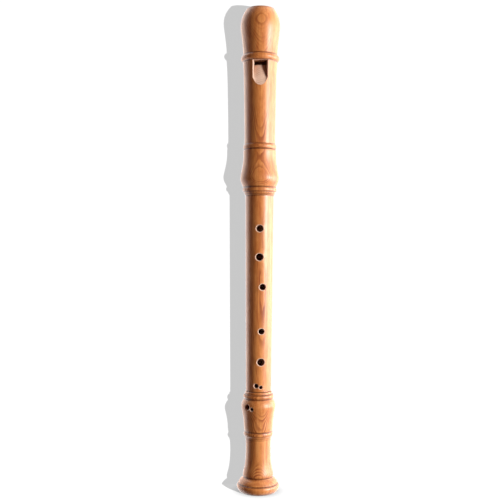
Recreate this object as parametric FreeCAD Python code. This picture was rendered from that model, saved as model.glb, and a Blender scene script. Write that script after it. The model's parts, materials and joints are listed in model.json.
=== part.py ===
"""Soprano recorder in the baroque style: three turned fruitwood joints, a cedar block and two corked tenons.

Units are millimetres. The instrument stands on its foot. +Z runs up the bore from the foot to the beak, the
origin is the centre of the foot's end face, and the window and the finger holes face -Y.
"""

import math
import os

import FreeCAD
import Part

Vec = FreeCAD.Vector
ORIGIN = Vec(0, 0, 0)
UP = Vec(0, 0, 1)

# Overall
TOTAL_LENGTH = 325.0
HEAD_MOUTH = 199.3            # socket mouth of the head joint, seated on the middle joint's shoulder
FOOT_MOUTH = 67.4             # socket mouth of the foot joint
SEAT_GAP = 0.05               # hairline left between two joints pushed home

# Bore
HEAD_BORE_R = 6.8
MIDDLE_BORE_TOP_R = 6.2
MIDDLE_BORE_BOTTOM_R = 5.0
FOOT_BORE_R = 5.0
FOOT_BORE_CHAMFER = 0.6

# Middle joint
MIDDLE_TOP_R = 9.55
MIDDLE_BOTTOM_R = 8.54
SHOULDER_EASE = 0.25

# Tenons, corks and sockets
UPPER_TENON_R = 7.95
UPPER_TENON_LENGTH = 21.4
UPPER_CORK_FROM = 3.4         # from the shoulder to the cork
UPPER_CORK_LENGTH = 13.2
LOWER_TENON_R = 7.25
LOWER_TENON_LENGTH = 9.0
LOWER_CORK_FROM = 1.6
LOWER_CORK_LENGTH = 5.6
TENON_END_CHAMFER = 0.4
SOCKET_CLEARANCE = 0.35       # socket wall to bare tenon
SOCKET_END_GAP = 0.3
SOCKET_MOUTH_CHAMFER = 0.35
CORK_CLEARANCE = 0.04         # socket wall to cork
CORK_BED_DEPTH = 0.8          # depth of the groove each cork is glued into
CORK_EDGE = 0.2

# Window and labium, cut in the front of the head joint
WINDOW_TOP = 288.8
CUT_UP = 2.8
WINDOW_HALF_WIDTH = 4.25      # at the bore
WINDOW_FLARE = 0.12           # sideways opening of its walls per millimetre outwards
WINDOW_BEVEL = 0.4            # on its outer edges
LABIUM_LENGTH = 14.1          # along the middle of the ramp
LABIUM_EDGE = 0.12            # thickness left at the edge that splits the air
LABIUM_FOOT_R = 10.95         # outside radius where the ramp runs out
LABIUM_FOOT_HOLLOW = 1.2      # how far the ramp's foot is dished up to its sides
LABIUM_FOOT_POWER = 6         # flat across the middle of its foot, round into the sides

# Windway, between the head joint and the block
WINDWAY_FLOOR_R = 6.4
WINDWAY_ROOF_R = 7.4
WINDWAY_ENTRY_HALF_WIDTH = 5.1
WINDWAY_ENTRY_LIFT = 0.4      # the roof rises this much towards the player
WINDWAY_CHAMFER = 0.5         # at the exit, on the block and on the roof
BLOCK_CLEARANCE = 0.03

# Beak: a hollow cut across the back of the head joint's top
BEAK_RADIUS = 42.0
BEAK_TIP_BACK = 0.6           # how far behind the axis the cut starts at the tip

# Finger holes: height, angle round from the front towards +X in degrees, radius
MIDDLE_HOLES = {
    "left thumb": (187.0, 180.0, 2.45),
    "left index finger": (176.8, 1.2, 2.2),
    "left middle finger": (157.8, 0.6, 2.35),
    "left ring finger": (137.8, 15.6, 2.05),
    "right index finger": (108.2, 11.1, 1.9),
    "right middle finger": (87.7, 9.9, 2.35),
    "right ring finger": (71.9, -11.8, 1.4),
    "right ring finger semitone": (71.0, 9.7, 1.1),
}
FOOT_HOLES = {
    "right little finger": (57.9, -41.0, 1.6),
    "right little finger semitone": (56.8, -23.6, 1.1),
}
FOOT_HOLE_SLANT = 20.0        # drilled down this much, to reach the bore below the tenon
FOOT_HOLE_R = 11.5            # outside radius at the foot's holes
HOLE_UNDERCUT = 0.4
HOLE_RIM_SHARE = 0.3          # rounding of a hole's outer edge, as a share of its radius
HOLE_RIM_MAX = 0.5
HOLE_RIM_REACH = 1.6          # a hole's rim lies within this many radii of its mouth

# Foot joint
FOOT_NECK_R = 9.0             # outside, at the socket's mouth

# How far cutting shapes run past the wood
OVERRUN = 1.0
HOLE_OVERRUN = 4.0            # outside the wall, where a slanted hole meets a curved bulb
FRONT_CLEAR = 18.0            # in front of the axis, beyond every turning
RAMP_OVERRUN = 1.15           # of the labium's length
LOFT_OVERLAP = 0.01


class Outline:
    """Half section of a turned part, in the plane of radius and height. It starts on the axis."""

    def __init__(self, height):
        self.end = Vec(0, 0, height)
        self.start = self.end
        self.edges = []

    def line(self, radius, height):
        end = Vec(radius, 0, height)
        self.edges.append(Part.makeLine(self.end, end))
        self.end = end

    def arc(self, via, to):
        """An arc through one station to another, each a radius and a height."""
        middle = Vec(via[0], 0, via[1])
        end = Vec(to[0], 0, to[1])
        self.edges.append(Part.Arc(self.end, middle, end).toShape())
        self.end = end

    def sweep(self, *stations):
        """A smooth curve through the stations."""
        points = [self.end] + [Vec(radius, 0, height) for radius, height in stations]
        curve = Part.BSplineCurve()
        curve.interpolate(points)
        self.edges.append(curve.toShape())
        self.end = points[-1]

    def turned(self):
        """The solid made by turning the outline a full turn about the bore's axis."""
        self.line(0, self.end.z)
        self.edges.append(Part.makeLine(self.end, self.start))
        face = Part.Face(Part.Wire(self.edges))
        return face.revolve(ORIGIN, UP, 360)


def cylinder(radius, low, high):
    return Part.makeCylinder(radius, high - low, Vec(0, 0, low))


def cone(low_radius, high_radius, low, high):
    return Part.makeCone(low_radius, high_radius, high - low, Vec(0, 0, low))


def ring(inner, outer, low, high):
    return cylinder(outer, low, high).cut(cylinder(inner, low, high))


def cut_all(body, tools):
    """The body less every tool, as one solid."""
    for tool in tools:
        body = body.cut(tool)
    return body.Solids[0]


# ------------------------------------------------------------ finger holes


def finger_hole(height, degrees, radius, outside_r, bore_r, slant=0.0):
    """Tool for one hole: a drilled shank and the undercut that widens it towards the bore."""
    start = outside_r + HOLE_OVERRUN
    shank = Part.makeCylinder(radius, start - bore_r / 2, Vec(0, -HOLE_OVERRUN, 0), Vec(0, 1, 0))
    wall = outside_r - bore_r
    undercut = Part.makeCone(radius, radius + HOLE_UNDERCUT, wall, Vec(0, wall / 2, 0), Vec(0, 1, 0))
    tool = shank.fuse(undercut)
    tool.rotate(ORIGIN, Vec(1, 0, 0), -slant)
    tool.translate(Vec(0, -outside_r, height))
    tool.rotate(ORIGIN, UP, degrees)
    return tool


def ease_rims(body, holes, outside_r):
    """Rounds the outer edge of every hole, as the maker's scraper and sanding do."""
    for height, degrees, radius in holes.values():
        turn = math.radians(degrees)
        r = outside_r(height)
        mouth = Vec(r * math.sin(turn), -r * math.cos(turn), height)
        reach = HOLE_RIM_REACH * radius
        rims = [
            edge for edge in body.Edges
            if all(vertex.Point.distanceToPoint(mouth) < reach for vertex in edge.Vertexes)
            and edge.BoundBox.Center.distanceToPoint(mouth) < reach
        ]
        body = body.makeFillet(min(HOLE_RIM_MAX, HOLE_RIM_SHARE * radius), rims)
    return body


# -------------------------------------------------------------- head joint


def head_outside():
    """The turned outside of the head joint, from its socket's mouth up to the beak."""
    o = Outline(HEAD_MOUTH)
    o.line(9.75, HEAD_MOUTH)
    o.arc((10.1, 200.0), (10.45, 200.9))
    o.line(10.6, 201.55)                                       # foot of the socket bead
    o.line(11.15, 201.65)
    o.arc((11.5, 202.9), (11.2, 204.3))                        # bead at the socket's mouth
    o.line(11.05, 204.65)
    o.sweep((11.5, 205.7), (12.65, 208.3), (13.05, 211.0), (12.7, 213.6), (11.8, 218.3),
            (11.2, 223.0), (11.08, 228.6))                     # socket bulb
    o.line(11.0, 229.6)
    o.line(10.6, 229.9)
    o.line(10.75, 230.2)
    o.arc((11.23, 231.85), (10.75, 233.5))                     # bead under the barrel
    o.line(10.38, 233.8)
    o.sweep((10.48, 245.0), (10.82, 265.0), (11.4, 285.0), (11.65, 288.9))  # barrel
    o.line(11.75, 289.15)
    o.arc((13.0, 291.25), (11.75, 293.4))                      # bead above the window
    o.line(11.58, 293.9)
    o.sweep((12.0, 300.0), (12.95, 308.2), (13.36, 314.2), (12.7, 318.4), (11.3, 321.9),
            (9.7, 324.55))                                     # bulb that the beak is cut from
    o.arc((9.5, 324.85), (9.15, TOTAL_LENGTH))
    return o.turned()


def beak_hollow():
    """The hollow across the back, with its axis along X, that leaves the lip at the front."""
    half_length = 20.0
    start = Vec(-half_length, BEAK_TIP_BACK + BEAK_RADIUS, TOTAL_LENGTH)
    return Part.makeCylinder(BEAK_RADIUS, 2 * half_length, start, Vec(1, 0, 0))


def chord(radius, half_width):
    """How far from the axis a chord of that half width sits in a circle."""
    return math.sqrt(radius**2 - half_width**2)


def fronted_section(front, far, far_half_width):
    """Closed wire at one height: a front edge that runs from left to right, closed by a straight far edge."""
    left, right = front.Vertexes[0].Point, front.Vertexes[-1].Point
    far_left = Vec(-far_half_width, -far, left.z)
    far_right = Vec(far_half_width, -far, left.z)
    return Part.Wire([
        front,
        Part.makeLine(right, far_right),
        Part.makeLine(far_right, far_left),
        Part.makeLine(far_left, left),
    ])


def windway_section(radius, half_width, lift, far, height):
    """Section of the windway's roof or floor: an arch of that radius, lifted, and closed at far."""
    side = chord(radius, half_width) + lift
    ends = [Vec(-half_width, -side, height), Vec(half_width, -side, height)]
    arch = Part.Arc(ends[0], Vec(0, -radius - lift, height), ends[1]).toShape()
    return fronted_section(arch, far, half_width)


def windway_cut(radius, lift, far):
    """Arched loft over the whole windway, from its exit to past the beak."""
    exit_wire = windway_section(radius, WINDOW_HALF_WIDTH, 0.0, far, WINDOW_TOP - LOFT_OVERLAP)
    entry_wire = windway_section(radius, WINDWAY_ENTRY_HALF_WIDTH, lift, far, TOTAL_LENGTH + OVERRUN)
    return Part.makeLoft([exit_wire, entry_wire], True, True)


def windway_front():
    """Box in front of the axis as wide as the windway's exit, to keep the exit's chamfers inside it."""
    corner = Vec(-WINDOW_HALF_WIDTH, -FRONT_CLEAR, WINDOW_TOP - FRONT_CLEAR)
    return Part.makeBox(2 * WINDOW_HALF_WIDTH, FRONT_CLEAR, 2 * FRONT_CLEAR, corner)


def roof_chamfer():
    """Cone that eases the roof's lower edge where the air leaves the windway."""
    bevel = cone(WINDWAY_ROOF_R + WINDWAY_CHAMFER, WINDWAY_ROOF_R, WINDOW_TOP, WINDOW_TOP + WINDWAY_CHAMFER)
    return bevel.common(windway_front())


def window_half_width(depth):
    """Half the window's width that far in front of the axis."""
    return WINDOW_HALF_WIDTH + WINDOW_FLARE * (depth - HEAD_BORE_R)


def window_section(depth_at, side, height):
    """Section of the window: depth_at gives its front edge's depth for x as a share of its half width."""
    half_width = window_half_width(side)
    shares = [step / 6 for step in range(-6, 7)]
    curve = Part.BSplineCurve()
    curve.interpolate([Vec(share * half_width, -depth_at(share), height) for share in shares])
    return fronted_section(curve.toShape(), FRONT_CLEAR, window_half_width(FRONT_CLEAR))


def labium_ramp():
    """Ruled cut that leaves the labium: arched like the windway at its edge and dished at its foot."""
    edge = WINDOW_TOP - CUT_UP
    edge_r = HEAD_BORE_R + LABIUM_EDGE
    foot_side = LABIUM_FOOT_R + LABIUM_FOOT_HOLLOW

    def edge_depth(share):
        return chord(edge_r, share * WINDOW_HALF_WIDTH)

    def foot_depth(share):
        return LABIUM_FOOT_R + LABIUM_FOOT_HOLLOW * abs(share) ** LABIUM_FOOT_POWER

    def beyond_depth(share):
        return edge_depth(share) + RAMP_OVERRUN * (foot_depth(share) - edge_depth(share))

    edge_side = edge_depth(1)
    beyond_side = edge_side + RAMP_OVERRUN * (foot_side - edge_side)
    edge_wire = window_section(edge_depth, edge_side, edge)
    beyond_wire = window_section(beyond_depth, beyond_side, edge - RAMP_OVERRUN * LABIUM_LENGTH)
    return Part.makeLoft([edge_wire, beyond_wire], True, True)


def window_opening():
    """The opening between the windway's exit and the labium's edge, down to the bore."""
    inside = HEAD_BORE_R - HOLE_OVERRUN
    wire = window_section(lambda share: inside, inside, WINDOW_TOP - CUT_UP)
    return Part.Face(wire).extrude(Vec(0, 0, CUT_UP))


def bevel_window(body):
    """Takes the sharp corner off the outer edges of the window's two side walls."""
    rims = []
    for edge in body.Edges:
        middle = edge.BoundBox.Center
        beside_window = middle.y < 0 and HEAD_BORE_R > abs(middle.x) > WINDOW_HALF_WIDTH
        on_outside = math.hypot(middle.x, middle.y) > LABIUM_FOOT_R
        if beside_window and on_outside and WINDOW_TOP - CUT_UP - LABIUM_LENGTH < middle.z < WINDOW_TOP:
            rims.append(edge)
    return body.makeChamfer(WINDOW_BEVEL, rims)


def head_joint():
    """The mouthpiece, window and upper socket, in one piece of wood."""
    socket_r = UPPER_TENON_R + SOCKET_CLEARANCE
    socket_end = HEAD_MOUTH + UPPER_TENON_LENGTH + SOCKET_END_GAP
    window = window_opening().fuse(labium_ramp())
    windowed = bevel_window(cut_all(head_outside(), [window]))
    return cut_all(windowed, [
        cylinder(HEAD_BORE_R, HEAD_MOUTH, TOTAL_LENGTH),
        cylinder(socket_r, HEAD_MOUTH, socket_end),
        cone(socket_r + SOCKET_MOUTH_CHAMFER, socket_r, HEAD_MOUTH, HEAD_MOUTH + SOCKET_MOUTH_CHAMFER),
        windway_cut(WINDWAY_ROOF_R, WINDWAY_ENTRY_LIFT, 0.0),
        roof_chamfer(),
        beak_hollow(),
    ])


def block():
    """The cedar plug that makes the windway's floor. Its tail follows the beak's hollow."""
    plug = cylinder(HEAD_BORE_R - BLOCK_CLEARANCE, WINDOW_TOP, TOTAL_LENGTH)
    bevel_top = WINDOW_TOP + WINDWAY_CHAMFER
    outside_bevel = cylinder(HEAD_BORE_R, WINDOW_TOP, bevel_top)
    bevel = cone(WINDWAY_FLOOR_R - WINDWAY_CHAMFER, WINDWAY_FLOOR_R, WINDOW_TOP, bevel_top)
    return cut_all(plug, [
        windway_cut(WINDWAY_FLOOR_R, 0.0, FRONT_CLEAR),
        outside_bevel.cut(bevel).common(windway_front()),
        beak_hollow(),
    ])


# ------------------------------------------------------------ middle joint


def middle_outside_r(height):
    share = (height - FOOT_MOUTH) / (HEAD_MOUTH - FOOT_MOUTH)
    return MIDDLE_BOTTOM_R + share * (MIDDLE_TOP_R - MIDDLE_BOTTOM_R)


def middle_bore_r(height):
    low = FOOT_MOUTH - LOWER_TENON_LENGTH
    high = HEAD_MOUTH + UPPER_TENON_LENGTH
    share = (height - low) / (high - low)
    return MIDDLE_BORE_BOTTOM_R + share * (MIDDLE_BORE_TOP_R - MIDDLE_BORE_BOTTOM_R)


def middle_blank():
    """The turned outside of the middle joint with both tenons."""
    low_end = FOOT_MOUTH - LOWER_TENON_LENGTH
    high_end = HEAD_MOUTH + UPPER_TENON_LENGTH
    low_shoulder = FOOT_MOUTH + SEAT_GAP
    high_shoulder = HEAD_MOUTH - SEAT_GAP
    o = Outline(low_end)
    o.line(LOWER_TENON_R - TENON_END_CHAMFER, low_end)
    o.line(LOWER_TENON_R, low_end + TENON_END_CHAMFER)
    o.line(LOWER_TENON_R, low_shoulder)
    o.line(MIDDLE_BOTTOM_R - SHOULDER_EASE, low_shoulder)
    o.line(MIDDLE_BOTTOM_R, low_shoulder + SHOULDER_EASE)
    o.line(MIDDLE_TOP_R, high_shoulder - SHOULDER_EASE)
    o.line(MIDDLE_TOP_R - SHOULDER_EASE, high_shoulder)
    o.line(UPPER_TENON_R, high_shoulder)
    o.line(UPPER_TENON_R, high_end - TENON_END_CHAMFER)
    o.line(UPPER_TENON_R - TENON_END_CHAMFER, high_end)
    return o.turned()


def upper_cork_span():
    low = HEAD_MOUTH + UPPER_CORK_FROM
    return low, low + UPPER_CORK_LENGTH


def lower_cork_span():
    high = FOOT_MOUTH - LOWER_CORK_FROM
    return high - LOWER_CORK_LENGTH, high


def middle_joint():
    """The long joint with eight holes, a tapering bore and a tenon at each end."""
    low_end = FOOT_MOUTH - LOWER_TENON_LENGTH
    high_end = HEAD_MOUTH + UPPER_TENON_LENGTH
    tools = [
        cone(MIDDLE_BORE_BOTTOM_R, MIDDLE_BORE_TOP_R, low_end, high_end),
        ring(UPPER_TENON_R - CORK_BED_DEPTH, UPPER_TENON_R + OVERRUN, *upper_cork_span()),
        ring(LOWER_TENON_R - CORK_BED_DEPTH, LOWER_TENON_R + OVERRUN, *lower_cork_span()),
    ]
    for height, degrees, radius in MIDDLE_HOLES.values():
        tools.append(finger_hole(height, degrees, radius, middle_outside_r(height), middle_bore_r(height)))
    return ease_rims(cut_all(middle_blank(), tools), MIDDLE_HOLES, middle_outside_r).Solids[0]


def tenon_cork(tenon_r, span):
    """Cork lapping glued round a tenon, standing a little proud of it."""
    low, high = span
    inner = tenon_r - CORK_BED_DEPTH
    outer = tenon_r + SOCKET_CLEARANCE - CORK_CLEARANCE
    eased_low = cone(outer - CORK_EDGE, outer, low, low + CORK_EDGE)
    eased_high = cone(outer, outer - CORK_EDGE, high - CORK_EDGE, high)
    straight = cylinder(outer, low + CORK_EDGE, high - CORK_EDGE)
    lapping = straight.fuse(eased_low).fuse(eased_high).removeSplitter()
    return cut_all(lapping, [cylinder(inner, low, high)])


# -------------------------------------------------------------- foot joint


def foot_outside():
    """The turned outside of the foot joint, from its end face up to its socket's mouth."""
    o = Outline(0.0)
    o.line(12.3, 0.0)
    o.arc((13.65, 1.75), (14.3, 3.5))                          # the bell's rim
    o.arc((14.08, 4.7), (13.5, 5.6))
    o.line(13.25, 5.75)
    o.line(13.3, 5.95)
    o.arc((12.1, 7.8), (10.35, 9.35))                          # the bell's shoulder
    o.line(10.0, 9.9)
    o.sweep((10.25, 11.0), (9.9, 13.6), (9.1, 17.3), (8.56, 22.4), (8.37, 30.8), (8.6, 35.5))  # waist
    o.line(8.75, 35.6)
    o.arc((8.9, 36.5), (9.25, 37.3))
    o.arc((9.9, 38.9), (9.5, 40.4))                            # bead on the waist
    o.line(9.33, 40.65)
    o.sweep((9.65, 42.3), (9.95, 46.8), (10.65, 52.1), (11.35, 55.8), (11.55, 57.5), (11.2, 59.5),
            (9.8, 62.2))                                       # bulb with the little finger's holes
    o.line(9.85, 62.8)
    o.arc((10.26, 64.1), (9.95, 65.2))                         # bead at the socket's mouth
    o.line(9.75, 65.25)
    o.line(9.85, 65.4)
    o.line(9.65, 65.75)
    o.line(9.05, 65.9)
    o.line(FOOT_NECK_R, FOOT_MOUTH - SHOULDER_EASE)
    o.line(FOOT_NECK_R - SHOULDER_EASE, FOOT_MOUTH)
    return o.turned()


def foot_joint():
    """The foot, with its socket, its two slanting holes and a plain bore."""
    socket_r = LOWER_TENON_R + SOCKET_CLEARANCE
    socket_end = FOOT_MOUTH - LOWER_TENON_LENGTH - SOCKET_END_GAP
    tools = [
        cylinder(FOOT_BORE_R, 0, FOOT_MOUTH),
        cone(FOOT_BORE_R + FOOT_BORE_CHAMFER, FOOT_BORE_R, 0, FOOT_BORE_CHAMFER),
        cylinder(socket_r, socket_end, FOOT_MOUTH),
        cone(socket_r, socket_r + SOCKET_MOUTH_CHAMFER, FOOT_MOUTH - SOCKET_MOUTH_CHAMFER, FOOT_MOUTH),
    ]
    for height, degrees, radius in FOOT_HOLES.values():
        tools.append(finger_hole(height, degrees, radius, FOOT_HOLE_R, FOOT_BORE_R, FOOT_HOLE_SLANT))
    body = cut_all(foot_outside(), tools)
    return ease_rims(body, FOOT_HOLES, lambda height: FOOT_HOLE_R).Solids[0]


def main():
    os.makedirs("parts", exist_ok=True)
    nodes = {
        "head_joint": head_joint(),
        "block": block(),
        "middle_joint": middle_joint(),
        "upper_tenon_cork": tenon_cork(UPPER_TENON_R, upper_cork_span()),
        "lower_tenon_cork": tenon_cork(LOWER_TENON_R, lower_cork_span()),
        "foot_joint": foot_joint(),
    }
    for name, shape in nodes.items():
        print(name, shape.ShapeType, shape.isValid(), round(shape.Volume, 1))
        shape.exportStep(f"parts/{name}.step")


main()
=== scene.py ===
"""Looks for the soprano recorder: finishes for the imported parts, a plain studio and the camera.

Lengths are in metres, unless a comment or a docstring says millimetres.
"""
import json
import math

import bpy
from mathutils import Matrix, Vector

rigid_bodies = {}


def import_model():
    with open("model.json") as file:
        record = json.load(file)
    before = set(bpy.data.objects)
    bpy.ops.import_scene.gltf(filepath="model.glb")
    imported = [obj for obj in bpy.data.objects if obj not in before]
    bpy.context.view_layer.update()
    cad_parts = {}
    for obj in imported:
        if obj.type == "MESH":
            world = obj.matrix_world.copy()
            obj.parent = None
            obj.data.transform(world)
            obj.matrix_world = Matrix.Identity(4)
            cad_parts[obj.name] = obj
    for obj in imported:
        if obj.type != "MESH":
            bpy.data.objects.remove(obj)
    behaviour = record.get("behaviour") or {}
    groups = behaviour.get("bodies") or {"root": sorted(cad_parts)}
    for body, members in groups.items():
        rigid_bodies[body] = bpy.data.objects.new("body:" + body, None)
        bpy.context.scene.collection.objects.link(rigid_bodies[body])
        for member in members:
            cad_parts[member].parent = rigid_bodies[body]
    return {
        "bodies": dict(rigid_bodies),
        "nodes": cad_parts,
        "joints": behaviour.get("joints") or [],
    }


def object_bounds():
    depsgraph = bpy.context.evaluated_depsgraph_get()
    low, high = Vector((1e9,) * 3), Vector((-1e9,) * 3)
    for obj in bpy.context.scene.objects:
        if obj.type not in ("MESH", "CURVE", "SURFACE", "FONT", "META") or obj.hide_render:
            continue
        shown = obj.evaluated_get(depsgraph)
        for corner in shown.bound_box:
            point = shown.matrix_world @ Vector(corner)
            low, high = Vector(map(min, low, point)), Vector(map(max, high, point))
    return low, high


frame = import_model()
cad_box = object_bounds()

MM = 0.001

# Growth layers. They lie round a pith well behind the instrument, so that its front is plain-sawn.
PITH = (-2.0, 60.0)             # mm from the bore's axis
RING_SPACING = 0.45             # mm

# How the layers curve along each joint: per mm, and the height in mm where they run straight
HEAD_BEND = (0.00041, 207.0)
MIDDLE_BEND = (-0.0004, 130.0)
FOOT_BEND = (0.0, 0.0)

# Where each piece is cut from its tree, in mm
HEAD_PLACE = (0, 0, 0)
MIDDLE_PLACE = (2.3, 1.1, 37)
FOOT_PLACE = (-1.6, 0.7, 90)
BLOCK_PLACE = (4, 3, 0)

# Turned lines darkened with dark oil and painted shade: height in mm, half width in mm, depth of tone. The
# wide band at the foot's rim is painted shade.
HEAD_LINES = (
    (325.2, 2.6, 0.8), (293.6, 0.8, 1.0), (289.0, 0.8, 0.9), (233.4, 0.7, 0.8), (230.1, 0.9, 1.0),
    (204.6, 1.0, 1.0), (201.7, 0.7, 0.8), (200.1, 0.9, 0.8),
)
MIDDLE_LINES = ((199.0, 0.7, 0.8), (67.7, 0.8, 0.9))
FOOT_LINES = (
    (65.6, 0.7, 0.9), (62.8, 1.0, 1.0), (40.6, 0.9, 1.0), (38.1, 0.4, 0.5), (36.6, 0.4, 0.6),
    (35.4, 0.5, 0.5), (10.4, 1.0, 1.0), (5.6, 0.9, 1.0), (0.3, 2.2, 0.8),
)
LINE_CORE = 0.05                # mm to either side of a line's middle at its full depth
TOOL_MARKS = (0.3, 0.3, 2.2)    # how closely a knife's marks lie across and along the wood, per mm

# Colours of the oiled wood
PALE_WOOD = (0.69, 0.28, 0.078)
MID_WOOD = (0.59, 0.207, 0.046)
DEEP_WOOD = (0.44, 0.114, 0.022)
DARK_BAND = (0.37, 0.085, 0.018)
PALE_BAND = (0.78, 0.36, 0.12)
DARK_MOTTLE = (0.36, 0.085, 0.018)
PALE_MOTTLE = (0.76, 0.33, 0.10)
LAYER_LINE = (0.26, 0.055, 0.011)
STREAK = (0.30, 0.065, 0.014)
PORE = (0.14, 0.03, 0.008)
WORN_EDGE = (0.74, 0.38, 0.15)
# Dark oil and painted shade in hollows and corners, where ambient occlusion finds them
CREVICE_OIL_AND_SHADE = (0.10, 0.022, 0.005)
# Dark oil and painted shade along the turned lines
LINE_OIL_AND_SHADE = (0.07, 0.012, 0.002)

# Colours of the cut wood, the cedar and the cork
BARE_TONE = ((0.74, 0.50, 0.37), (0.62, 0.39, 0.27))
# Painted shade: darker cut wood for the finger holes' walls and the windway
DRILLED_SHADE_TONE = ((0.40, 0.13, 0.06), (0.28, 0.08, 0.035))
CUT_LAYER = (0.36, 0.17, 0.09)
# Painted shade in the cut wood's hollows and corners
CUT_CREVICE_SHADE = (0.16, 0.06, 0.025)
CEDAR_TONE = ((0.66, 0.36, 0.19), (0.48, 0.21, 0.10))
CEDAR_STREAK = (0.34, 0.14, 0.065)
CORK_TONE = ((0.62, 0.40, 0.22), (0.46, 0.27, 0.13))
CORK_SHADE = (0.36, 0.20, 0.09)
CORK_PIT = (0.13, 0.06, 0.025)

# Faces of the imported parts, and the material slots they get
INNER_FACE_RADIUS = 8.34 * MM   # turned faces inside this are bores, sockets and tenons
WINDWAY_FROM = 288.3 * MM       # the head's inner faces above this are the windway's, darkened with painted shade
RIM_DEPTH = 1.2 * MM            # a finger hole's face deeper than this is its wall, not its rim
OILED, BARE, DRILLED_SHADE = 0, 1, 2

# Camera
LENS = 57.0                     # mm
SENSOR = 36.0                   # mm
CAMERA_DISTANCE = 0.535
CAMERA_ROLL = math.radians(0.32)
AXIS_OFFSET = 0.0186            # the axis stands this share of the frame right of its middle
NEAREST_SEEN = 10 * MM

# Softboxes on the camera's right: turned so many degrees from it, width by height, and power in watts
SOFTBOX_DISTANCE = 0.9
KEY_TURN = 57
KEY_LIFT = 0.09
KEY_SIZE = (0.3, 0.3)
KEY_POWER = 12.2
SIDE_TURN = 92
SIDE_LIFT = 0.0
SIDE_SIZE = (0.8, 0.5)
SIDE_POWER = 11.0

# Backdrop and floor, and the small lamp beside the camera that throws the shadow on them
BACKDROP_GAP = 0.4 * MM         # behind the widest turning
PAPER_REACH = 1.5               # from the middle to each side
PAPER_HEIGHT = 1.6
PAPER_GLOW = 0.58               # brightness in the lamp's shadow
PAPER_LIT = 1.04                # brightness in the lamp's light
BRIGHTEST_PAPER = 0.9
CONTACT_REACH = 6 * MM
LAMP_POWER = 2400.0
LAMP_RADIUS = 3 * MM
SHADOW_SHIFT = 9.2 * MM         # sideways, on the backdrop

# The room that the instrument mirrors, in the camera's own directions
ROOM_BACK = 3.1
ROOM_SIDE = 1.6
ROOM_FRONT = (0.07, 0.030, 0.026)
BACK_DIRECTION = (0, 0, 1)
SIDE_DIRECTION = (0.75, 0, 0.66)
BACK_FADE = (0.02, 0.28)
SIDE_FADE = (-0.04, 0.16)

# Sockets of a colour mix
MIX_SHARE, MIX_FIRST, MIX_SECOND, MIX_RESULT = 0, 6, 7, 2


# ------------------------------------------------------------------ nodes


class Graph:
    """Short calls that add and link shader nodes. A value may be a number, a colour or a node's output."""

    def __init__(self, tree):
        self.tree = tree
        self.tree.nodes.clear()

    def put(self, socket, value):
        if isinstance(value, bpy.types.NodeSocket):
            self.tree.links.new(value, socket)
        else:
            socket.default_value = value

    def add(self, kind, inputs=None, output=0, **settings):
        node = self.tree.nodes.new(kind)
        for name, value in settings.items():
            setattr(node, name, value)
        for name, value in (inputs or {}).items():
            self.put(node.inputs[name], value)
        return node.outputs[output]

    def end(self, shader, kind="ShaderNodeOutputMaterial"):
        """Ends the graph in a material's or a world's output."""
        node = self.tree.nodes.new(kind)
        self.put(node.inputs["Surface"], shader)

    def math(self, operation, a, b=0.0, c=0.0):
        return self.add("ShaderNodeMath", {0: a, 1: b, 2: c}, operation=operation)

    def vector(self, operation, a, b=(0, 0, 0), output="Vector"):
        return self.add("ShaderNodeVectorMath", {0: a, 1: b}, output=output, operation=operation)

    def noise(self, vector, scale=1.0, detail=2.0, roughness=0.5):
        inputs = {"Vector": vector, "Scale": scale, "Detail": detail, "Roughness": roughness}
        return self.add("ShaderNodeTexNoise", inputs)

    def remap(self, value, low, high, to_low=0.0, to_high=1.0, smooth=False):
        kind = "SMOOTHSTEP" if smooth else "LINEAR"
        inputs = {"Value": value, "From Min": low, "From Max": high, "To Min": to_low, "To Max": to_high}
        return self.add("ShaderNodeMapRange", inputs, interpolation_type=kind)

    def mix(self, share, first, second):
        node = self.tree.nodes.new("ShaderNodeMix")
        node.data_type = "RGBA"
        self.put(node.inputs[MIX_SHARE], share)
        for index, colour in ((MIX_FIRST, first), (MIX_SECOND, second)):
            self.put(node.inputs[index], (*colour, 1.0) if isinstance(colour, tuple) else colour)
        return node.outputs[MIX_RESULT]

    def stain(self, colour, tint, mask, low, high, share):
        """Mixes a tint into a colour: nothing where the mask is at low, and share where it's at high."""
        return self.mix(self.remap(mask, low, high, 0.0, share), colour, tint)

    def bump(self, height, strength, depth):
        return self.add("ShaderNodeBump", {"Height": height, "Strength": strength, "Distance": depth})

    def coated(self, colour, roughness, normal, ior, coat=0.0):
        """Ends the graph in a plain surface under a thin coat of that weight."""
        self.end(self.add("ShaderNodeBsdfPrincipled", {
            "Base Color": colour, "Roughness": roughness, "IOR": ior, "Normal": normal,
            "Coat Weight": coat, "Coat Roughness": 0.25,
        }))


def new_material(name):
    material = bpy.data.materials.new(name)
    material.use_nodes = True
    return material, Graph(material.node_tree)


# ------------------------------------------------------------------- wood


def millimetres(g, shift=(0, 0, 0)):
    """The part's own coordinates in millimetres, shifted so that each joint is cut from another place."""
    place = g.add("ShaderNodeTexCoord", output="Object")
    return g.add("ShaderNodeMapping", {"Vector": place, "Scale": (1 / MM,) * 3, "Location": shift})


def height_of(g):
    """Height above the foot's rim, in millimetres."""
    place = g.add("ShaderNodeTexCoord", output="Object")
    return g.math("MULTIPLY", g.add("ShaderNodeSeparateXYZ", {"Vector": place}, output="Z"), 1 / MM)


def stretched(g, point, across, along):
    """Coordinates for a texture that runs with the fibres, in cells of that many millimetres."""
    return g.vector("MULTIPLY", point, (1 / across, 1 / across, 1 / along))


def grain(g, point, across, along, detail=2.0, roughness=0.5):
    """Noise that runs with the fibres, in cells of that many millimetres across and along them."""
    return g.noise(stretched(g, point, across, along), detail=detail, roughness=roughness)


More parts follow.
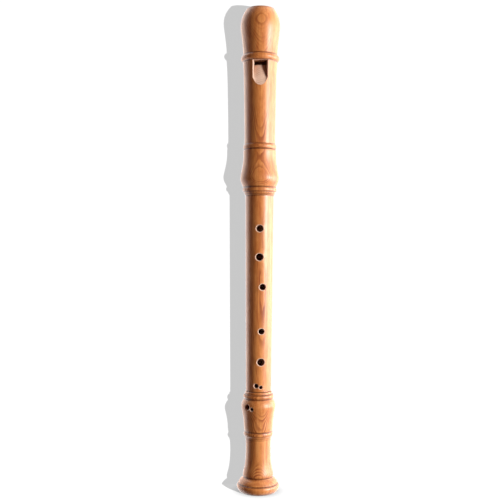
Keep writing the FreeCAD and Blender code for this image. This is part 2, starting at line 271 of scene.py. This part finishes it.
def wobble(g, point, across, along, detail, reach):
    """A vector that wanders by about that many millimetres, in cells across and along the fibres."""
    inputs = {"Vector": stretched(g, point, across, along), "Scale": 1.0, "Detail": detail}
    noise = g.add("ShaderNodeTexNoise", inputs, output="Color")
    centred = g.vector("SUBTRACT", noise, (0.5, 0.5, 0.5))
    return g.add("ShaderNodeVectorMath", {0: centred, "Scale": reach}, operation="SCALE")


def growth_layers(g, point, bend=0.0, straight_at=0.0):
    """0 in the pale wood of each growth layer, rising to 1 at its dark outer line. The layers leave the
    pith's straight line by bend times the square of the height from straight_at, in millimetres."""
    slow = wobble(g, point, across=30, along=60, detail=1.0, reach=5.0)
    fine = wobble(g, point, across=5, along=16, detail=2.0, reach=0.55)
    wavy = g.vector("ADD", point, g.vector("ADD", slow, fine))
    from_pith = g.vector("MULTIPLY", g.vector("SUBTRACT", wavy, (*PITH, 0)), (1, 1, 0))
    distance = g.vector("LENGTH", from_pith, output="Value")
    along = g.math("SUBTRACT", height_of(g), straight_at)
    bent = g.math("MULTIPLY_ADD", g.math("MULTIPLY", along, along), bend, distance)
    count = g.math("DIVIDE", bent, RING_SPACING)
    within = g.math("FRACT", count)
    year = g.add("ShaderNodeTexWhiteNoise", {"W": g.math("FLOOR", count)}, noise_dimensions="1D")
    patchy = g.remap(grain(g, point, across=6, along=18, detail=1.0), 0.38, 0.62, 0.25, 1.0)
    strength = g.math("MULTIPLY", year, patchy)
    # A layer darkens slowly and ends sharply
    rise = g.remap(within, 0.15, 0.88, smooth=True)
    fall = g.remap(within, 0.9, 1.0, 1.0, 0.0, smooth=True)
    line = g.math("MULTIPLY", rise, fall)
    return g.math("MULTIPLY", line, g.remap(strength, 0.1, 0.9, 0.1, 1.2))


def turned_lines(g, lines):
    """The depth of tone of each turned line, strongest along its middle and uneven round the turning."""
    height = height_of(g)
    mask = 0.0
    for line_height, half_width, depth in lines:
        away = g.math("ABSOLUTE", g.math("SUBTRACT", height, line_height))
        mask = g.math("MAXIMUM", mask, g.remap(away, LINE_CORE, half_width, depth, 0.0, smooth=True))
    uneven = g.noise(g.add("ShaderNodeTexCoord", output="Object"), scale=180.0)
    return g.math("MULTIPLY", mask, g.remap(uneven, 0.3, 0.6, 0.75, 1.0))


def worn_edges(g):
    """1 on sharp outside corners, where hands and cloths have rubbed the finish."""
    reach = {"Distance": 0.7 * MM}
    inside = g.add("ShaderNodeAmbientOcclusion", reach, output="AO", samples=8, inside=True)
    return g.remap(inside, 0.5, 0.9, 1.0, 0.0)


def crevice_shade(g, reach, share):
    """How deep a point sits in a turned line or corner, from 0 in the open to share."""
    # Painted shade: this mask follows ambient occlusion, not the lamps
    occlusion = g.add("ShaderNodeAmbientOcclusion", {"Distance": reach}, output="AO", samples=8)
    return g.remap(occlusion, 0.45, 0.95, share, 0.0)


def fruitwood(name, place, lines, bend):
    """Oiled fruitwood: fine growth layers, streaks, pores, dark oil and painted shade in the turned lines
    and a satin sheen.
    """
    material, g = new_material(name)
    point = millimetres(g, place)
    layers = growth_layers(g, point, *bend)
    streaks = grain(g, point, across=0.22, along=9, detail=3.0, roughness=0.6)
    broad = grain(g, point, across=4.0, along=60)
    clouds = grain(g, point, across=14, along=45)
    bands = grain(g, point, across=1.3, along=50)
    mottle = grain(g, point, across=2.2, along=6, detail=3.0, roughness=0.6)
    pores = g.remap(grain(g, point, across=0.09, along=1.3, detail=1.0), 0.66, 0.74, smooth=True)
    worn = worn_edges(g)

    colour = g.mix(g.remap(broad, 0.3, 0.7), PALE_WOOD, MID_WOOD)
    colour = g.stain(colour, DEEP_WOOD, clouds, 0.35, 0.75, 0.55)
    colour = g.stain(colour, DARK_BAND, bands, 0.5, 0.72, 0.5)
    colour = g.stain(colour, PALE_BAND, bands, 0.48, 0.3, 0.35)
    colour = g.stain(colour, PALE_MOTTLE, mottle, 0.45, 0.72, 0.4)
    colour = g.stain(colour, DARK_MOTTLE, mottle, 0.45, 0.28, 0.3)
    colour = g.mix(g.math("MULTIPLY", layers, 0.85), colour, LAYER_LINE)
    colour = g.stain(colour, STREAK, streaks, 0.3, 0.75, 0.34)
    colour = g.mix(g.math("MULTIPLY", pores, 0.3), colour, PORE)
    colour = g.mix(g.math("MULTIPLY", worn, 0.25), colour, WORN_EDGE)
    # Dark oil and painted shade in the hollows and corners
    colour = g.mix(crevice_shade(g, reach=0.9 * MM, share=0.8), colour, CREVICE_OIL_AND_SHADE)
    # Dark oil and painted shade along the turned lines
    colour = g.mix(g.math("MULTIPLY", turned_lines(g, lines), 0.75), colour, LINE_OIL_AND_SHADE)

    roughness = g.math("ADD", g.remap(streaks, 0.2, 0.8, 0.36, 0.46), g.math("MULTIPLY", layers, 0.04))
    roughness = g.math("SUBTRACT", roughness, g.math("MULTIPLY", worn, 0.08))
    height = g.math("SUBTRACT", g.math("MULTIPLY", streaks, 0.35), g.math("MULTIPLY", pores, 0.9))
    g.coated(colour, roughness, g.bump(height, strength=0.35, depth=0.05 * MM), ior=1.45, coat=0.1)
    return material


def cut_wood(name, tone):
    """Bare wood where a knife or drill has cut it: duller than the oiled wood, with tool marks."""
    material, g = new_material(name)
    point = millimetres(g)
    streaks = grain(g, point, across=0.25, along=3, detail=3.0, roughness=0.6)
    marks = g.noise(g.vector("MULTIPLY", point, TOOL_MARKS))
    colour = g.mix(g.remap(streaks, 0.3, 0.7), *tone)
    colour = g.mix(g.math("MULTIPLY", growth_layers(g, point), 0.5), colour, CUT_LAYER)
    # Painted shade in the cut wood's hollows and corners
    colour = g.mix(crevice_shade(g, reach=1.0 * MM, share=0.4), colour, CUT_CREVICE_SHADE)
    roughness = g.remap(streaks, 0.2, 0.8, 0.55, 0.7)
    height = g.math("ADD", g.math("MULTIPLY", streaks, 0.4), g.math("MULTIPLY", marks, 0.6))
    g.coated(colour, roughness, g.bump(height, strength=0.3, depth=0.06 * MM), ior=1.45)
    return material


def cedar():
    """The block's bare cedar: straight pinkish grain with thin dark lines."""
    material, g = new_material("cedar")
    point = millimetres(g, BLOCK_PLACE)
    lines = grain(g, point, across=0.55, along=120, detail=3.0, roughness=0.65)
    streaks = grain(g, point, across=0.15, along=5)
    colour = g.mix(g.remap(lines, 0.35, 0.65), *CEDAR_TONE)
    colour = g.stain(colour, CEDAR_STREAK, streaks, 0.45, 0.75, 0.4)
    roughness = g.remap(streaks, 0.2, 0.8, 0.6, 0.78)
    height = g.math("ADD", g.math("MULTIPLY", lines, 0.5), g.math("MULTIPLY", streaks, 0.5))
    g.coated(colour, roughness, g.bump(height, strength=0.35, depth=0.05 * MM), ior=1.4)
    return material


def cork():
    """Waxed cork lapping: pale grains of uneven size with darker pits between them."""
    material, g = new_material("cork")
    point = millimetres(g)
    cells = {"Vector": point, "Scale": 1.6}
    grains = g.add("ShaderNodeTexVoronoi", cells, output="Distance")
    tint = g.add("ShaderNodeSeparateColor", {"Color": g.add("ShaderNodeTexVoronoi", cells, output="Color")})
    speckle = g.noise(point, scale=6.0, detail=3.0)
    pits = g.remap(g.noise(point, scale=1.9), 0.62, 0.72, smooth=True)
    colour = g.mix(tint, *CORK_TONE)
    colour = g.stain(colour, CORK_SHADE, speckle, 0.35, 0.7, 0.5)
    colour = g.mix(g.math("MULTIPLY", pits, 0.75), colour, CORK_PIT)
    roughness = g.remap(speckle, 0.3, 0.7, 0.62, 0.8)
    hollows = g.math("ADD", pits, g.math("MULTIPLY", grains, 0.4))
    height = g.math("SUBTRACT", g.math("MULTIPLY", speckle, 0.5), hollows)
    g.coated(colour, roughness, g.bump(height, strength=0.5, depth=0.12 * MM), ior=1.4)
    return material


# ------------------------------------------------- which faces are bare wood


def patches(mesh):
    """Groups of polygons that share vertices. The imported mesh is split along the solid's own faces."""
    leader = list(range(len(mesh.vertices)))

    def find(index):
        while leader[index] != index:
            leader[index] = leader[leader[index]]
            index = leader[index]
        return index

    for polygon in mesh.polygons:
        first = find(polygon.vertices[0])
        for other in polygon.vertices[1:]:
            leader[find(other)] = first
    groups = {}
    for polygon in mesh.polygons:
        groups.setdefault(find(polygon.vertices[0]), []).append(polygon)
    return list(groups.values())


def finish_of(mesh, group, head):
    """Which material a face gets. A face that wraps round the axis is turned: oiled outside, bare inside.
    The head's other faces are the beak's oiled back, and the window and the windway in front. On the middle
    and the foot they are the rims and the walls of the finger holes."""
    corners = [mesh.vertices[i].co for polygon in group for i in polygon.vertices]
    xs = [corner.x for corner in corners]
    ys = [corner.y for corner in corners]
    radii = [math.hypot(corner.x, corner.y) for corner in corners]
    inside = max(radii) < INNER_FACE_RADIUS
    if min(xs) < 0 < max(xs) and min(ys) < 0 < max(ys):
        return BARE if inside else OILED
    if head and min(ys) > 0:
        return OILED
    if head:
        windway = inside and min(corner.z for corner in corners) > WINDWAY_FROM
        return DRILLED_SHADE if windway else BARE
    return DRILLED_SHADE if max(radii) - min(radii) > RIM_DEPTH else BARE


def give_materials(node, *materials):
    """Puts the materials in the part's slots, in that order, and gives back its mesh."""
    mesh = frame["nodes"][node].data
    mesh.materials.clear()
    for material in materials:
        mesh.materials.append(material)
    return mesh


def dress_turned(node, oiled, bare, drilled_shade):
    """Gives a joint its oiled finish outside, and bare wood where it's cut."""
    mesh = give_materials(node, oiled, bare, drilled_shade)
    head = node == "head_joint"
    for group in patches(mesh):
        slot = finish_of(mesh, group, head)
        for polygon in group:
            polygon.material_index = slot


def dress_parts():
    bare = cut_wood("bare_fruitwood", BARE_TONE)
    # Painted shade: the holes' walls and the windway get this darker cut wood
    drilled_shade = cut_wood("drilled_fruitwood_shade", DRILLED_SHADE_TONE)
    for joint, place, lines, bend in (
        ("head", HEAD_PLACE, HEAD_LINES, HEAD_BEND),
        ("middle", MIDDLE_PLACE, MIDDLE_LINES, MIDDLE_BEND),
        ("foot", FOOT_PLACE, FOOT_LINES, FOOT_BEND),
    ):
        oiled = fruitwood("oiled_fruitwood_" + joint, place, lines, bend)
        dress_turned(joint + "_joint", oiled, bare, drilled_shade)
    lapping = cork()
    give_materials("block", cedar())
    give_materials("upper_tenon_cork", lapping)
    give_materials("lower_tenon_cork", lapping)


# ----------------------------------------------------------------- studio


def add_object(name, data):
    obj = bpy.data.objects.new(name, data)
    bpy.context.scene.collection.objects.link(obj)
    return obj


def build_camera(centre):
    """Straight in front at half height. It steps back when the head or the block is drawn out."""
    camera = add_object("camera", bpy.data.cameras.new("camera"))
    camera.data.lens = LENS
    camera.data.sensor_width = SENSOR
    camera.data.shift_x = -AXIS_OFFSET
    camera.data.clip_start = NEAREST_SEEN
    camera.location = (0, -CAMERA_DISTANCE, centre.z)
    camera.rotation_euler = (math.radians(90), -CAMERA_ROLL, 0)
    travel = sum(joint["range_m"][1] for joint in frame["joints"] if joint["type"] == "slide")
    step = camera.constraints.new("TRANSFORM")
    step.target = frame["bodies"]["block"]
    step.map_from = "LOCATION"
    step.map_to = "LOCATION"
    step.from_max_z = travel
    step.map_to_y_from = "Z"
    step.map_to_z_from = "Z"
    step.to_max_y = -travel * CAMERA_DISTANCE / (2 * centre.z)
    step.to_max_z = travel / 2
    bpy.context.scene.camera = camera
    return camera


def build_rig(camera, centre):
    """An empty at the middle that keeps facing the camera, so that the key stays on the camera's right."""
    rig = add_object("light_rig", None)
    rig.location = centre
    turn = rig.constraints.new("LOCKED_TRACK")
    turn.target = camera
    turn.track_axis = "TRACK_NEGATIVE_Y"
    turn.lock_axis = "LOCK_Z"
    return rig


def softbox(name, rig, turn, lift, size, power):
    """A rectangular lamp on the rig, aimed at the instrument's middle."""
    light = bpy.data.lights.new(name, "AREA")
    light.shape = "RECTANGLE"
    light.size, light.size_y = size
    light.energy = power
    lamp = add_object(name, light)
    angle = math.radians(turn)
    place = Vector((SOFTBOX_DISTANCE * math.sin(angle), -SOFTBOX_DISTANCE * math.cos(angle), lift))
    lamp.location = place
    lamp.rotation_euler = (-place).to_track_quat("-Z", "Y").to_euler()
    lamp.parent = rig
    lamp.visible_camera = False
    return lamp


def from_behind(g):
    """1 where a plane is seen from behind."""
    return g.add("ShaderNodeNewGeometry", output="Backfacing")


def from_behind_or_edge(g):
    """1 where a plane is seen from behind or almost edge on."""
    sight = g.add("ShaderNodeNewGeometry", output="Incoming")
    normal = g.add("ShaderNodeNewGeometry", output="True Normal")
    facing = g.vector("DOT_PRODUCT", sight, normal, output="Value")
    return g.math("MAXIMUM", from_behind(g), g.remap(facing, 0.1, 0.2, 1.0, 0.0))


def fully_open(g):
    """A plane that nothing stands on."""
    return 1.0


def contact_share(g):
    """A soft shadow where something stands on the floor."""
    near = g.add("ShaderNodeAmbientOcclusion", {"Distance": CONTACT_REACH}, output="AO", samples=16)
    return g.remap(near, 0.3, 1.0, 0.7, 1.0)


def evening_albedo(g, lamp_place, gap):
    """Albedo that lights a plane at that gap from the lamp evenly. The light of a small lamp falls across a
    plane with the cube of the distance."""
    place = g.add("ShaderNodeNewGeometry", output="Position")
    cubed = g.math("POWER", g.vector("DISTANCE", place, lamp_place, output="Value"), 3.0)
    scale = (PAPER_LIT - PAPER_GLOW) * 4 * math.pi**2 / (LAMP_POWER * gap)
    return g.math("MINIMUM", g.math("MULTIPLY", cubed, scale), BRIGHTEST_PAPER)


def paper(name, corners, lamp_place, gap, hidden_of, open_of):
    """A plane of plain paper with a flat tone in its lamp's shadow. It is not seen where hidden_of says so,
    and open_of says how open each point of it is. Only the camera sees it."""
    material, g = new_material(name + "_paper")
    open_share = open_of(g)
    brightness = g.math("MULTIPLY", open_share, PAPER_GLOW)
    albedo = g.math("MULTIPLY", open_share, evening_albedo(g, lamp_place, gap))
    glow = g.add("ShaderNodeEmission", {"Color": (1, 1, 1, 1), "Strength": brightness})
    dull = g.add("ShaderNodeBsdfDiffuse", {"Color": albedo})
    both = g.add("ShaderNodeAddShader", {0: glow, 1: dull})
    clear = g.add("ShaderNodeBsdfTransparent")
    g.end(g.add("ShaderNodeMixShader", {0: hidden_of(g), 1: both, 2: clear}))

    mesh = bpy.data.meshes.new(name)
    mesh.from_pydata(corners, [], [range(len(corners))])
    mesh.materials.append(material)
    obj = add_object(name, mesh)
    for ray in ("diffuse", "glossy", "transmission", "volume_scatter"):
        setattr(obj, "visible_" + ray, False)
    return obj


def add_shadow_lamp(planes, place):
    """A small lamp that lights the planes only, for the crisp shadow beside the instrument."""
    light = bpy.data.lights.new("backdrop_light", "POINT")
    light.energy = LAMP_POWER
    light.shadow_soft_size = LAMP_RADIUS
    lamp = add_object("backdrop_light", light)
    lamp.location = place
    only = bpy.data.collections.new("backdrop_light")
    for obj in planes:
        only.objects.link(obj)
    lamp.light_linking.receiver_collection = only


def keep_light_off(planes, lamps):
    """The lamps light everything but the planes."""
    unlit = bpy.data.collections.new("not_lit_by_key")
    for index, obj in enumerate(planes):
        unlit.objects.link(obj)
        unlit.collection_objects[index].light_linking.link_state = "EXCLUDE"
    for lamp in lamps:
        lamp.light_linking.receiver_collection = unlit


def build_paper(centre, back):
    """The backdrop and the floor. Their lamp stands level with the camera and a little beside it."""
    aside = SHADOW_SHIFT * CAMERA_DISTANCE / back
    lamp_place = Vector((aside, -CAMERA_DISTANCE, centre.z))
    left, right = -PAPER_REACH, PAPER_REACH
    upright = [(left, back, 0), (right, back, 0), (right, back, PAPER_HEIGHT), (left, back, PAPER_HEIGHT)]
    gap = back + CAMERA_DISTANCE
    backdrop = paper("backdrop", upright, lamp_place, gap, from_behind_or_edge, fully_open)
    backdrop.visible_shadow = False
    level = [(left, left, 0), (right, left, 0), (right, right, 0), (left, right, 0)]
    floor = paper("floor", level, lamp_place, centre.z, from_behind, contact_share)
    add_shadow_lamp((backdrop, floor), lamp_place)
    return backdrop, floor


def build_world():
    """White where the camera looks past everything. All other light meets a white room behind the
    instrument, as the camera sees it, and a dim one in front."""
    world = bpy.data.worlds.new("studio")
    bpy.context.scene.world = world
    world.use_nodes = True
    g = Graph(world.node_tree)
    view = g.add("ShaderNodeTexCoord", output="Camera")
    behind = g.vector("DOT_PRODUCT", view, BACK_DIRECTION, output="Value")
    beside = g.vector("DOT_PRODUCT", view, SIDE_DIRECTION, output="Value")
    room = g.mix(g.remap(beside, *SIDE_FADE, smooth=True), ROOM_FRONT, (ROOM_SIDE,) * 3)
    room = g.mix(g.remap(behind, *BACK_FADE, smooth=True), room, (ROOM_BACK,) * 3)
    room = g.mix(g.add("ShaderNodeLightPath", output="Is Camera Ray"), room, (1.0, 1.0, 1.0))
    g.end(g.add("ShaderNodeBackground", {"Color": room, "Strength": 1.0}), "ShaderNodeOutputWorld")


def build_studio():
    low, high = cad_box
    centre = (low + high) / 2
    camera = build_camera(centre)
    rig = build_rig(camera, centre)
    key = softbox("key", rig, KEY_TURN, KEY_LIFT, KEY_SIZE, KEY_POWER)
    side = softbox("side", rig, SIDE_TURN, SIDE_LIFT, SIDE_SIZE, SIDE_POWER)
    side.visible_diffuse = False
    planes = build_paper(centre, high.y + BACKDROP_GAP)
    keep_light_off(planes, (key, side))
    build_world()
    bpy.context.scene.view_settings.view_transform = "Standard"


dress_parts()
build_studio()
